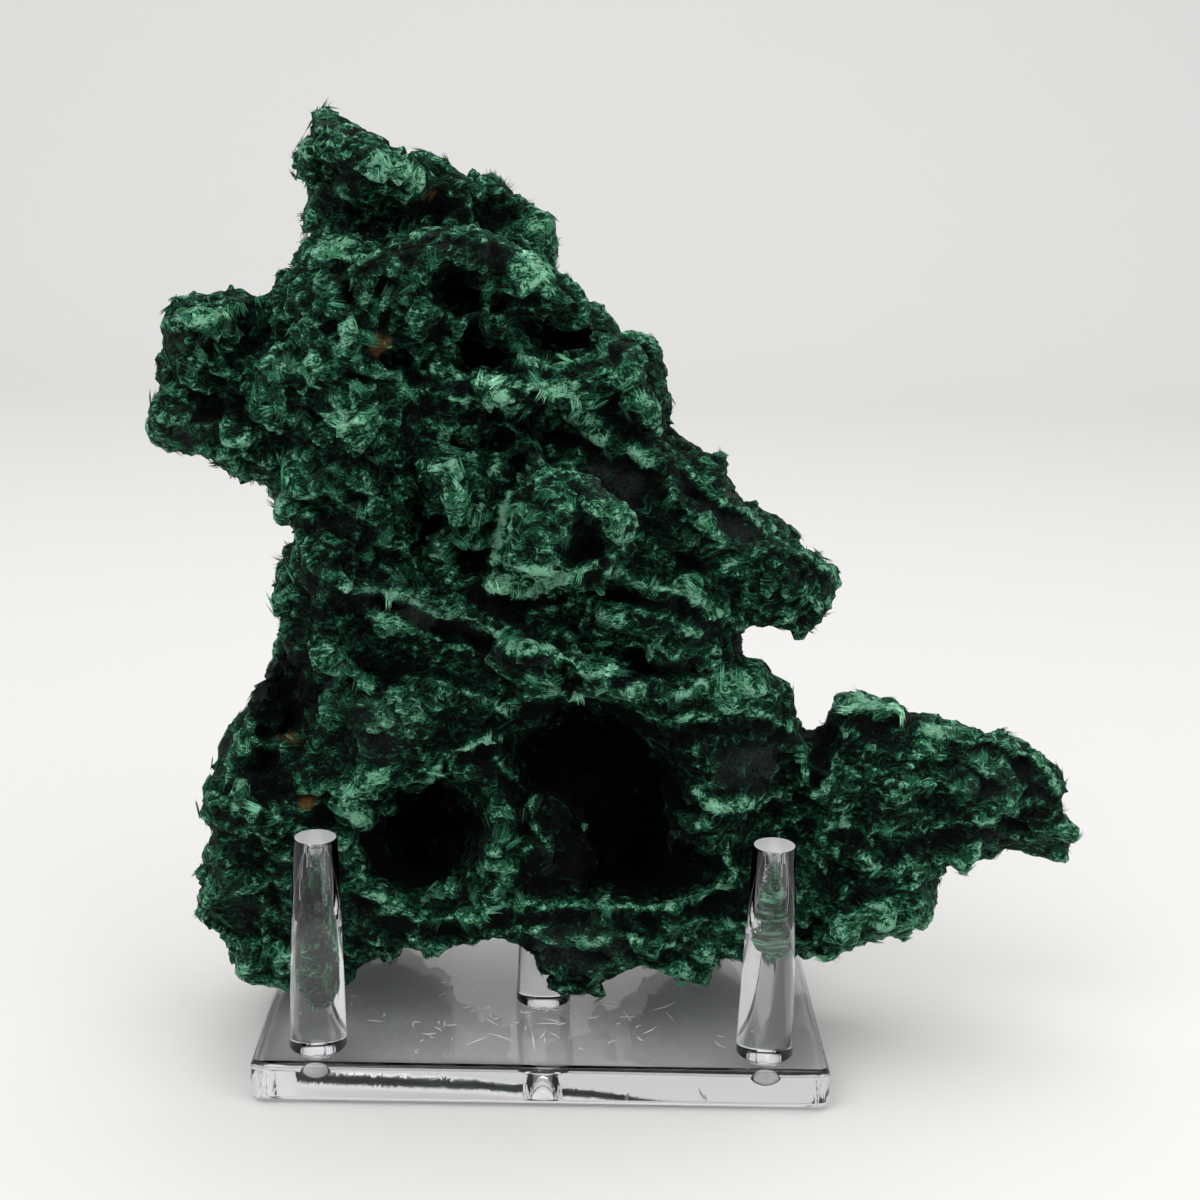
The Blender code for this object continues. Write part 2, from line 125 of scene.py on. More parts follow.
# The ledges: corners from left to right, and a height in mm.
LEDGES = {
    "top_step": ([(425, 374), (470, 380), (520, 386), (560, 402), (600, 412)], 2.2),
    "second_step": ([(425, 398), (480, 406), (540, 420), (610, 442), (650, 470)], 2.4),
    "slant": ([(560, 356), (610, 380), (650, 425), (690, 478), (740, 520)], 1.6),
    "block_side": ([(530, 464), (508, 492), (501, 530), (493, 560), (490, 590)], 3.0),
    "tongue": ([(488, 590), (520, 598), (560, 588), (590, 568)], 4.5),
    "block_low": ([(590, 572), (640, 590), (690, 600), (720, 622)], 2.4),
    "crevice": ([(345, 590), (400, 600), (460, 622), (515, 650)], 3.0),
    "flaps": ([(488, 640), (515, 660), (545, 648), (580, 678), (620, 668), (650, 656), (690, 660)], 3.2),
    "shelf": ([(560, 700), (600, 690), (650, 702), (700, 690)], 2.2),
    "arm_low": ([(640, 612), (700, 632), (760, 634), (830, 604)], 2.0),
    "arm_top": ([(690, 482), (735, 508), (785, 545), (836, 582)], 1.6),
    "hollow_rim": ([(505, 712), (560, 696), (620, 706), (684, 728)], 3.0),
    "column": ([(492, 762), (522, 790), (540, 830), (545, 882)], 2.4),
    "fan_edge": ([(330, 800), (372, 832), (420, 792), (455, 752), (490, 745)], 2.6),
    "knob_top": ([(688, 722), (740, 714), (792, 732)], 2.2),
    "knob_low": ([(684, 776), (706, 806), (756, 806), (796, 788)], 2.4),
    "cap": ([(832, 706), (866, 716), (908, 708)], 2.6),
    "wing_mid": ([(830, 828), (890, 842), (960, 824), (1040, 806)], 1.8),
    "wing_top": ([(905, 712), (960, 745), (1010, 742), (1060, 790)], 1.6),
    "bridge": ([(372, 900), (430, 926), (480, 916), (530, 904), (600, 912), (680, 908), (745, 886)], 2.4),
    "hanging": ([(520, 930), (560, 945), (620, 940), (680, 948)], 1.8),
    "left_rise": ([(232, 700), (262, 668), (300, 650)], 1.8),
    "left_mid": ([(206, 800), (250, 812), (300, 830)], 1.6),
    "wing_left": ([(168, 330), (205, 318), (250, 300)], 1.6),
    "upper_rim": ([(345, 262), (400, 240), (455, 232), (500, 245)], 1.8),
    "pit_wall": ([(522, 362), (560, 368), (602, 352)], 2.2),
}

# Patches that are lighter or darker than the stone round them: the last value is how much.
# The dark patches in the big hollows and under the bridge and the hanging part are painted shade.
PATCHES_AND_SHADE = {
    "spire_face": (398, 172, 46, 24, 20, 0.30),
    "small_flap": (326, 250, 28, 18, 0, 0.30),
    "top_fan": (530, 268, 24, 32, -40, 0.42),
    "leaf_fan": (496, 393, 18, 14, 0, 0.55),
    "streaked_wall": (563, 382, 42, 20, 15, 0.38),
    "thin_mint": (582, 422, 18, 6, 8, 0.50),
    "left_spot": (346, 410, 18, 24, 10, 0.36),
    "fan_a": (455, 468, 20, 30, -30, 0.32),
    "fan_b": (486, 520, 20, 30, 0, 0.28),
    "tongue_face": (532, 580, 44, 13, 4, 0.60),
    "block_edge": (505, 505, 12, 52, 12, 0.36),
    "fan_c": (366, 800, 46, 34, -30, 0.30),
    "under_flaps": (592, 692, 44, 11, 3, 0.36),
    "arm_face": (730, 562, 34, 22, 30, 0.24),
    "arm_left": (548, 425, 50, 12, 10, 0.20),
    "cap_face": (868, 700, 36, 11, 4, 0.55),
    "wing_fan_a": (935, 736, 22, 14, 30, 0.36),
    "wing_fan_b": (988, 760, 20, 10, 10, 0.30),
    "wing_patch": (832, 820, 22, 18, 0, 0.42),
    "wing_low": (872, 925, 44, 20, -10, 0.36),
    "wing_under": (900, 868, 30, 14, 0, 0.30),
    "knob_rim": (735, 690, 44, 24, 10, 0.34),
    "knob_side": (704, 800, 14, 34, 10, 0.36),
    "column_face": (530, 820, 12, 40, 8, 0.30),
    "left_foot": (240, 970, 16, 24, 0, 0.22),
    "dark_peak": (615, 478, 28, 24, 0, -0.32),
    "left_wing_dark": (190, 425, 44, 40, 0, -0.12),
    "hanging_painted_shade": (565, 966, 54, 26, 0, -0.22),
    "bridge_painted_shade": (470, 926, 60, 14, 0, -0.20),
    "knob_dark": (748, 768, 42, 28, 0, -0.34),
    "mid_left_dark": (330, 560, 40, 60, 0, -0.16),
    "centre_painted_shade": (600, 790, 96, 76, 4, -0.55),
    "centre_low_painted_shade": (630, 862, 90, 44, 6, -0.50),
    "lower_left_painted_shade": (424, 838, 64, 50, -22, -0.60),
    "left_side_painted_shade": (280, 700, 36, 56, 12, -0.40),
    "arm_end_dark": (800, 590, 40, 30, 0, -0.10),
}
OCHRE_SPOTS = {
    "upper": (380, 345, 9, 7, 0, 1.0),
    "lower_left": (306, 803, 8, 7, 0, 1.0),
    "spire": (428, 196, 8, 5, 0, 0.7),
    "left": (285, 742, 6, 5, 0, 0.6),
}

GREY_SPOTS = {
    "peak": (614, 478, 30, 26, 0, 0.8),
    "band": (420, 612, 78, 14, 18, 0.7),
    "arm": (745, 520, 26, 30, 30, 0.6),
    "hanging": (575, 950, 56, 24, 0, 0.5),
    "left_wing": (185, 430, 34, 26, 0, 0.4),
    "wing_end": (1000, 780, 60, 26, 15, 0.4),
    "knob": (752, 768, 40, 24, 0, 0.6),
    "lower_left": (380, 730, 40, 34, -30, 0.4),
}

# The viewpoint of the photograph.
EYE = Vector((0.0029, -0.3938, 0.2028))
YAW = math.radians(1.095)
PITCH = math.radians(14.81)
ROLL = math.radians(-1.432)
LENS = 57.57
SENSOR = 36.0


class Wire:
    """A socket that takes part in Python maths, which adds the Math nodes it needs."""

    def __init__(self, finish, socket):
        self.finish = finish
        self.socket = socket

    def __add__(self, other):
        return self.finish.maths("ADD", self, other)

    def __radd__(self, other):
        return self.finish.maths("ADD", other, self)

    def __sub__(self, other):
        return self.finish.maths("SUBTRACT", self, other)

    def __rsub__(self, other):
        return self.finish.maths("SUBTRACT", other, self)

    def __mul__(self, other):
        return self.finish.maths("MULTIPLY", self, other)

    def __rmul__(self, other):
        return self.finish.maths("MULTIPLY", other, self)

    def __pow__(self, other):
        return self.finish.maths("POWER", self, other)

    def span(self, low, high):
        """0 below low, 1 above high, and smooth between them."""
        return self.finish.wire("ShaderNodeMapRange", "Result", {"interpolation_type": "SMOOTHSTEP"},
                                {"Value": self, "From Min": low, "From Max": high})


class Finish:
    """A material that is built node by node."""

    def __init__(self, name):
        self.material = bpy.data.materials.new(name)
        self.material.use_nodes = True
        self.tree = self.material.node_tree
        self.tree.nodes.clear()
        self.output = self.tree.nodes.new("ShaderNodeOutputMaterial")

    def node(self, kind, settings=None, sockets=None):
        made = self.tree.nodes.new(kind)
        for name, value in (settings or {}).items():
            if name == "stops":
                self.set_stops(made.color_ramp, value)
            else:
                setattr(made, name, value)
        for name, value in (sockets or {}).items():
            if isinstance(value, Wire):
                self.tree.links.new(value.socket, made.inputs[name])
            else:
                made.inputs[name].default_value = value
        return made

    def set_stops(self, ramp, stops):
        while len(ramp.elements) < len(stops):
            ramp.elements.new(0.5)
        for element, (place, colour) in zip(ramp.elements, stops):
            element.position = place
            element.color = colour

    def wire(self, kind, output, settings=None, sockets=None):
        return Wire(self, self.node(kind, settings, sockets).outputs[output])

    def maths(self, operation, first, second):
        return self.wire("ShaderNodeMath", 0, {"operation": operation}, {0: first, 1: second})

    def vector_maths(self, operation, first, second, output="Vector"):
        return self.wire("ShaderNodeVectorMath", output, {"operation": operation}, {0: first, 1: second})

    def scaled(self, vector, factor):
        return self.wire("ShaderNodeVectorMath", "Vector", {"operation": "SCALE"},
                         {0: vector, "Scale": factor})

    def mixed(self, factor, first, second, blend="MIX"):
        return self.wire("ShaderNodeMix", 2, {"data_type": "RGBA", "blend_type": blend},
                         {"Factor": factor, 6: first, 7: second})

    def place(self):
        return self.wire("ShaderNodeTexCoord", "Object")

    def attribute(self, name, output="Fac"):
        return self.wire("ShaderNodeAttribute", output, {"attribute_name": name})

    def noise(self, vector, scale, detail=3.0, roughness=0.55):
        return self.wire("ShaderNodeTexNoise", "Fac", None,
                         {"Vector": vector, "Scale": scale, "Detail": detail, "Roughness": roughness})

    def bump(self, height, strength, distance, normal=None):
        sockets = {"Height": height, "Strength": strength, "Distance": distance}
        if normal is not None:
            sockets["Normal"] = normal
        return self.wire("ShaderNodeBump", "Normal", None, sockets)

    def finish_with(self, **sockets):
        named = {name.replace("_", " "): value for name, value in sockets.items()}
        shader = self.node("ShaderNodeBsdfPrincipled", None, named)
        self.tree.links.new(shader.outputs["BSDF"], self.output.inputs["Surface"])
        return self.material


def hashed(cells, seed):
    """Three numbers from 0 to 1 for each whole-number cell, the same ones every time."""
    with np.errstate(over="ignore"):
        x, y, z = (cells[:, axis].astype(np.int32).astype(np.uint32) for axis in range(3))
        key = x * np.uint32(73856093) ^ y * np.uint32(19349663) ^ z * np.uint32(83492791)
        key ^= np.uint32(seed * 2654435761 % 2**32)
        numbers = []
        for _turn in range(3):
            key ^= key >> np.uint32(15)
            key *= np.uint32(2246822519)
            key ^= key >> np.uint32(13)
            key *= np.uint32(3266489917)
            key ^= key >> np.uint32(16)
            numbers.append(key / 2**32)
    return np.stack(numbers, axis=1)


def soft_noise(points, size, seed):
    """Three smooth random numbers from -1 to 1 at each point, with lumps of about a size."""
    grid = points / size
    corner = np.floor(grid)
    part = grid - corner
    part = part * part * (3 - 2 * part)
    total = np.zeros((len(points), 3))
    for step in itertools.product((0, 1), repeat=3):
        weight = np.prod(np.where(np.array(step) == 1, part, 1 - part), axis=1)
        total += weight[:, None] * hashed(corner + np.array(step), seed)
    return total * 2 - 1


def cells(points, size, seed):
    """Random cells: distance to the nearest and second centre, the nearest centre, and its marks."""
    grid = points / size
    corner = np.floor(grid)
    near = np.full(len(points), 9.0)
    second = np.full(len(points), 9.0)
    centre = np.zeros((len(points), 3))
    marks = np.zeros((len(points), 3))
    for step in itertools.product((-1, 0, 1), repeat=3):
        cell = corner + np.array(step)
        spot = cell + hashed(cell, seed)
        reach = np.linalg.norm(grid - spot, axis=1)
        nearer = reach < near
        second = np.where(nearer, near, np.minimum(second, reach))
        near = np.where(nearer, reach, near)
        centre[nearer] = spot[nearer]
        marks[nearer] = hashed(cell[nearer], seed + 7)
    return near, second, centre * size, marks


def smooth_step(values, low, high):
    part = np.clip((values - low) / (high - low), 0, 1)
    return part * part * (3 - 2 * part)


def points_of(mesh):
    flat = np.empty(len(mesh.vertices) * 3, dtype=np.float32)
    mesh.vertices.foreach_get("co", flat)
    return flat.reshape(-1, 3).astype(np.float64)


def normals_of(mesh):
    flat = np.empty(len(mesh.vertices) * 3, dtype=np.float32)
    mesh.vertex_normals.foreach_get("vector", flat)
    return flat.reshape(-1, 3).astype(np.float64)


def move_points(mesh, points):
    mesh.vertices.foreach_set("co", points.astype(np.float32).ravel())
    mesh.update()


def edge_ends(mesh):
    flat = np.empty(len(mesh.edges) * 2, dtype=np.int32)
    mesh.edges.foreach_get("vertices", flat)
    return flat.reshape(-1, 2)


def averaged(values, ends, turns):
    """Values evened out with their neighbours along the mesh's edges."""
    values = values.copy()
    count = np.bincount(ends.ravel(), minlength=len(values)).astype(float)
    flat = values.ndim == 1
    values = values.reshape(len(values), -1)
    for _turn in range(turns):
        total = np.empty_like(values)
        for column in range(values.shape[1]):
            total[:, column] = np.bincount(ends[:, 0], values[ends[:, 1], column], len(values))
            total[:, column] += np.bincount(ends[:, 1], values[ends[:, 0], column], len(values))
        values = 0.5 * values + 0.5 * total / count[:, None]
    return values[:, 0] if flat else values


def store(mesh, name, values):
    attribute = mesh.attributes.new(name, "FLOAT", "POINT")
    attribute.data.foreach_set("value", values.astype(np.float32))


def new_object(name, mesh):
    made = bpy.data.objects.new(name, mesh)
    bpy.context.scene.collection.objects.link(made)
    return made


def settled(made):
    """Apply an object's modifiers to its mesh."""
    bpy.context.view_layer.update()
    graph = bpy.context.evaluated_depsgraph_get()
    mesh = bpy.data.meshes.new_from_object(made.evaluated_get(graph))
    made.modifiers.clear()
    made.data = mesh
    return mesh


def mesh_from(bm, name):
    mesh = bpy.data.meshes.new(name)
    bm.to_mesh(mesh)
    bm.free()
    return mesh


def merged_copy(node):
    """A CAD node's mesh with its loose triangles joined."""
    bm = bmesh.new()
    bm.from_mesh(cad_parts[node].data)
    bmesh.ops.remove_doubles(bm, verts=bm.verts, dist=0.000001)
    return mesh_from(bm, node)


def eye_axes():
    """The viewpoint's right, up and forward directions."""
    forward = Vector((math.sin(YAW) * math.cos(PITCH), math.cos(YAW) * math.cos(PITCH), -math.sin(PITCH)))
    right = Vector((math.cos(YAW), -math.sin(YAW), 0))
    up = right.cross(forward)
    turned_right = right * math.cos(ROLL) - up * math.sin(ROLL)
    turned_up = right * math.sin(ROLL) + up * math.cos(ROLL)
    return turned_right, turned_up, forward


def sight_of(points):
    """Where the photograph shows each point, in pixels, and the direction from the eye to it."""
    right, up, forward = (np.array(axis) for axis in eye_axes())
    offset = points - np.array(EYE)
    depth = offset @ forward
    focal = PHOTO_SIZE * LENS / SENSOR
    u = PHOTO_SIZE / 2 + focal * (offset @ right) / depth
    v = PHOTO_SIZE / 2 - focal * (offset @ up) / depth
    return np.stack((u, v), axis=1), unit(offset)


def in_sight(piece, points, sight):
    """1 where the eye sees a point of the piece, else 0, and the piece's thickness behind each."""
    bpy.context.view_layer.update()
    tree = BVHTree.FromObject(piece, bpy.context.evaluated_depsgraph_get())
    reach = np.linalg.norm(points - np.array(EYE), axis=1)
    seen = np.zeros(len(points))
    behind = np.zeros(len(points))
    for number, (direction, distance) in enumerate(zip(sight.tolist(), reach.tolist())):
        hit = tree.ray_cast(EYE, direction, distance + SIGHT_SLACK)
        if hit[3] is None or hit[3] < distance - SIGHT_SLACK:
            continue
        seen[number] = 1
        start = EYE + Vector(direction) * (hit[3] + SIGHT_SLACK)
        exit_hit = tree.ray_cast(start, direction, 0.2)
        if exit_hit[3] is not None:
            behind[number] = exit_hit[3]
    return seen, behind


def spot_weight(pixels, spot, softness=0.5):
    """1 inside a turned ellipse of the photograph, 0 outside it, and soft between."""
    u, v, half_width, half_height, degrees = spot[:5]
    turn = math.radians(degrees)
    across = (pixels[:, 0] - u) * math.cos(turn) + (pixels[:, 1] - v) * math.sin(turn)
    along = (pixels[:, 1] - v) * math.cos(turn) - (pixels[:, 0] - u) * math.sin(turn)
    reach = np.hypot(across / half_width, along / half_height)
    return 1 - smooth_step(reach, 1 - softness, 1 + softness * 0.4)


def line_offset(pixels, corners):
    """Distance to a ledge's line in pixels: above 0 under the line, below 0 over it."""
    best = np.full(len(pixels), 1e6)
    signed = np.zeros(len(pixels))
    for start, finish in zip(corners, corners[1:]):
        step = np.array(finish, dtype=float) - start
        part = np.clip((pixels - start) @ step / (step @ step), 0, 1)
        offset = pixels - start - part[:, None] * step
        reach = np.hypot(offset[:, 0], offset[:, 1])
        side = np.sign(step[0] * offset[:, 1] - step[1] * offset[:, 0])
        nearer = reach < best
        best = np.where(nearer, reach, best)
        signed = np.where(nearer, reach * side, signed)
    return signed


def wavy(points, pixels):
    """Pixel places that wander a little, so that placed features get ragged outlines."""
    wander = 7.0 * soft_noise(points / MM, 5.0, 61)[:, :2] + 3.0 * soft_noise(points / MM, 1.8, 62)[:, :2]
    return pixels + wander


def placed_forms(points, pixels):
    """How far the pits and the ledges of the photograph move each point away from the eye, in mm."""
    places = wavy(points, pixels)
    away = np.zeros(len(points))
    for spot in PITS.values():
        away = np.maximum(away, spot[5] * spot_weight(places, spot))
    for corners, height in LEDGES.values():
        offset = line_offset(places, corners)
        over = np.exp(-np.minimum(offset, 0) ** 2 / 160) * (offset < 0)
        under = np.exp(-offset ** 2 / 110) * smooth_step(offset, 0, 3)
        away += height * (1.1 * under - 0.8 * over)
    return away


def placed_tone_and_shade(points, pixels):
    """How much lighter each point is for the photograph's ledges and patches, with painted shade in its pits
    and under its ledges.
    """
    places = wavy(points, pixels)
    tone = np.zeros(len(points))
    for spot in PATCHES_AND_SHADE.values():
        tone += spot[5] * spot_weight(places, spot, 0.7)
    for spot in PITS.values():
        # Painted shade: each pit is darkened.
        tone -= 0.35 * spot_weight(places, spot)
    for corners, height in LEDGES.values():
        offset = line_offset(places, corners)
        line = np.exp(-(offset + 2) ** 2 / 12)
        # Painted shade in a band under each ledge, below the pale line along its crest.
        under = np.exp(-(offset - 9) ** 2 / 60)
        tone += height * (0.20 * line - 0.15 * under)
    return tone


def stone_relief(points):
    """How far each point of the stone moves out along its normal, and down, in mm."""
    warp = points + 2.6 * soft_noise(points, 9, 11) + 1.1 * soft_noise(points, 3.1, 12)

    near, second, centre, marks = cells(warp, PLATE_SIZE, PLATE_SEED)
    plates = 0.7 * (marks[:, 0] * 2 - 1) + 0.15 * np.sum((warp - centre) * (marks * 2 - 1), axis=1)

    slope = math.radians(SLOPE)
    along = warp[:, 0] * math.cos(slope) + warp[:, 2] * math.sin(slope)
    upward = warp[:, 2] * math.cos(slope) - warp[:, 0] * math.sin(slope)
    squashed = np.stack((along * 0.55, warp[:, 1] * 0.8, upward * 1.5), axis=1)
    _near, _second, centre_small, marks_small = cells(squashed, 6.2, 31)
    offset_small = squashed - centre_small
    scales = 0.75 * (marks_small[:, 1] * 2 - 1) + 0.30 * np.sum(offset_small * (marks_small * 2 - 1), axis=1)

    comb = 1 - smooth_step(np.linalg.norm((points - HONEYCOMB_CENTRE) * (1, 0.6, 1), axis=1), 25, 45)
    comb = np.maximum(comb, smooth_step(soft_noise(points, 26, 71)[:, 0], 0.1, 0.4))
    near_pit, second_pit, _centre, marks_pit = cells(warp, 5.2, 41)
    gap = second_pit - near_pit
    hollow = smooth_step(gap, 0.05, 0.45)
    pits = -2.6 * hollow * (0.35 + 0.65 * marks_pit[:, 2]) * comb

    fine = (1 - np.abs(soft_noise(warp, 2.6, 51)[:, 0])) ** 3
    finer = (1 - np.abs(soft_noise(warp, 1.5, 52)[:, 1])) ** 3
    out = plates + scales + pits + 0.8 * comb + 0.8 * (fine - 0.4) + 0.5 * (finer - 0.4) - 0.2
    down = 0.5 * np.maximum(plates + scales, 0)
    return out, down


def remeshed(piece, size):
    """The piece's mesh made again from cubes of a size."""
    remesh = piece.modifiers.new("remesh", "REMESH")
    remesh.mode = "VOXEL"
    remesh.voxel_size = size
    return settled(piece)


def make_stone(settings):
    stone = new_object("stone", merged_copy("malachite"))
    mesh = remeshed(stone, settings.grain)
    ends = edge_ends(mesh)
    points = averaged(points_of(mesh), ends, 3)
    pixels, sight = sight_of(points)
    seen, behind = in_sight(stone, points, sight)
    behind = averaged(behind / MM, ends, 6)
    seen = averaged(seen, ends, 3)
    away = np.minimum(placed_forms(points, pixels), np.maximum(behind * 0.75 - THINNEST, 0)) * seen
    points = points + sight * (away * settings.relief * MM)[:, None]
    move_points(mesh, points)

    mesh = remeshed(stone, settings.grain)
    ends = edge_ends(mesh)
    points = averaged(points_of(mesh), ends, 1)
    move_points(mesh, points)
    normals = unit(averaged(normals_of(mesh), ends, 4))
    out, down = stone_relief(points / MM)
    moved = points + normals * (out * settings.relief * MM)[:, None]
    moved[:, 2] -= down * settings.relief * MM * (points[:, 2] > FREE_HEIGHT)
    moved = moved * 0.6 + averaged(moved, ends, 1) * 0.4
    moved[:, 2] = np.maximum(moved[:, 2], LOWEST)
    move_points(mesh, moved)

    final_normals = normals_of(mesh)
    near_mean = averaged(moved, ends, 4)
    wide_mean = averaged(moved, ends, 40)
    edge = np.sum((moved - near_mean) * final_normals, axis=1) / MM
    height = np.sum((moved - wide_mean) * final_normals, axis=1) / MM
    pixels, sight = sight_of(moved)
    seen = averaged(in_sight(stone, moved, sight)[0], ends, 2)
    broad = soft_noise(moved / MM, 21, 81)[:, 0]
    placed = placed_tone_and_shade(moved, pixels) * seen + 0.22 * broad * (1 - 0.6 * seen)
    # The edge term gives the crests their pale colour; the height term paints shade into the recesses.
    tone = 0.34 * smooth_step(edge, -0.05, 0.55) + 0.40 * smooth_step(height, -2.2, 2.4) + placed
    ochre = np.zeros(len(moved))
    for spot in OCHRE_SPOTS.values():
        ochre = np.maximum(ochre, spot[5] * spot_weight(wavy(moved, pixels), spot) * seen)
    store(mesh, "tone", tone)
    store(mesh, "edge", edge)
    store(mesh, "ochre", ochre)
    grey = 0.6 * smooth_step(soft_noise(moved / MM, 14, 91)[:, 1], 0.2, 0.6) * (1 - seen)
    for spot in GREY_SPOTS.values():
        grey = np.maximum(grey, spot[5] * spot_weight(wavy(moved, pixels), spot) * seen)
    store(mesh, "grey", grey)
    for polygon in mesh.polygons:
        polygon.use_smooth = True
    mesh.materials.clear()
    mesh.materials.append(malachite_finish(settings))
    print("stone triangles", 2 * len(mesh.polygons))
    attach(stone, "root")
    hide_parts("malachite")
    return stone


def read_back(mesh, name):
    values = np.empty(len(mesh.vertices), dtype=np.float32)
    mesh.attributes[name].data.foreach_get("value", values)
    return values.astype(np.float64)


def triangles_of(mesh):
    mesh.calc_loop_triangles()
    flat = np.empty(len(mesh.loop_triangles) * 3, dtype=np.int32)
    mesh.loop_triangles.foreach_get("vertices", flat)
    return flat.reshape(-1, 3)


def unit(vectors):
    return vectors / np.maximum(np.linalg.norm(vectors, axis=1), 1e-9)[:, None]


def footholds(draw, count, evenness):
    """Places on the stone, more of them on its light crests: point, outward direction and lightness."""
    mesh = bpy.data.objects["stone"].data
    points = points_of(mesh)
    normals = averaged(normals_of(mesh), edge_ends(mesh), 2)
    edge = read_back(mesh, "edge")
    lightness = read_back(mesh, "tone")
    corners = triangles_of(mesh)
    a, b, c = (points[corners[:, side]] for side in range(3))
    area = np.linalg.norm(np.cross(b - a, c - a), axis=1)
    crest = smooth_step(edge[corners].mean(axis=1), -0.15, 0.35)
    light = smooth_step(lightness[corners].mean(axis=1), 0.1, 0.7)
    weight = area * (evenness + crest * 0.5 + light)
    chosen = corners[draw.choice(len(corners), count, p=weight / weight.sum()), 0]
    return points[chosen], unit(normals[chosen]), lightness[chosen]


def make_fibres(settings, name, seed):
    """Tufts of fibres that lie on the stone and fan out from the middle of its plates."""
    draw = np.random.default_rng(seed)
    root, out, lightness = footholds(draw, settings.tufts, 0.05)
    _near, _second, centre, marks = cells(root / MM, PLATE_SIZE, PLATE_SEED)
    spoke = root / MM - centre + (marks * 2 - 1) * 3.0
    along = unit(spoke - out * np.sum(spoke * out, axis=1)[:, None])
    side = np.cross(out, along)
    tone = lightness + draw.normal(0, 0.10, settings.tufts)
    stretch = draw.uniform(0.6, 1.4, settings.tufts)

    each = settings.fibres
    turn = draw.normal(0, 0.13, (settings.tufts, each))
    rise = draw.uniform(-0.08, 0.10, (settings.tufts, each))
    length = draw.uniform(0.5, 1.0, (settings.tufts, each)) * stretch[:, None] * settings.length
    shift = draw.uniform(-0.5, 0.5, (settings.tufts, each, 2)) * settings.bundle

    def spread(vectors, factor):
        return vectors[:, None, :] * factor[:, :, None]

    heading = spread(along, np.cos(turn)) + spread(side, np.sin(turn)) + spread(out, rise)
    heading /= np.linalg.norm(heading, axis=2)[:, :, None]
    foot = root[:, None, :] + spread(along, shift[:, :, 0]) + spread(side, shift[:, :, 1])
    foot = foot - spread(out, np.full(turn.shape, 0.15 * MM))
    across = np.cross(heading, np.repeat(out[:, None, :], each, axis=1))
    above = np.cross(across, heading)
    width = settings.width * draw.uniform(0.6, 1.2, turn.shape)
    ring = []
    for angle in (0.0, 2.094, 4.189):
        ring.append(foot + (across * math.cos(angle) + above * math.sin(angle)) * width[:, :, None])
    tip = foot + heading * length[:, :, None]
    verts = np.stack(ring + [tip], axis=2).reshape(-1, 3)
    count = settings.tufts * each
    first = np.arange(count)[:, None] * 4
    faces = np.array([(0, 1, 3), (1, 2, 3), (2, 0, 3), (2, 1, 0)])
    faces = (first[:, :, None] + faces[None, :, :]).reshape(-1, 3)
    fibres = bpy.data.meshes.new(name)
    fibres.from_pydata(verts.tolist(), [], faces.tolist())
    reach = np.tile((0.0, 0.0, 0.0, 1.0), count)
    store(fibres, "reach", reach)
    # Each fibre takes the stone's lightness at its root, painted shade included.
    shade = np.repeat((tone[:, None] + draw.uniform(-0.1, 0.1, turn.shape))[:, :, None], 4, axis=2)
    store(fibres, "shade", shade.ravel())
    made = new_object(name, fibres)
    fibres.materials.append(fibre_finish(settings, name))
    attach(made, "root")
    print(name, "triangles", len(faces))
    return made


def fibre_finish(settings, name):
    finish = Finish(name)
    tone = finish.attribute("shade") + finish.attribute("reach") * 0.12
    colour = green_of(finish, tone - 0.16)
    return finish.finish_with(Base_Color=colour, Roughness=0.5, Specular_IOR_Level=0.14)


def green_of(finish, tone):
    """Malachite's colour, from the near black of the painted shade in its hollows to the mint of its crests.
    """
    settings = bpy.context.scene.specimen_stone
    return finish.wire("ShaderNodeValToRGB", "Color", {"stops": [
        (0.00, (0.0006, 0.0018, 0.0013, 1)),
        (0.26, tuple(settings.dark) + (1,)),
        (0.50, tuple(settings.green) + (1,)),
        (0.74, tuple(settings.bright) + (1,)),
        (1.00, tuple(settings.mint) + (1,)),
    ]}, {"Fac": tone})


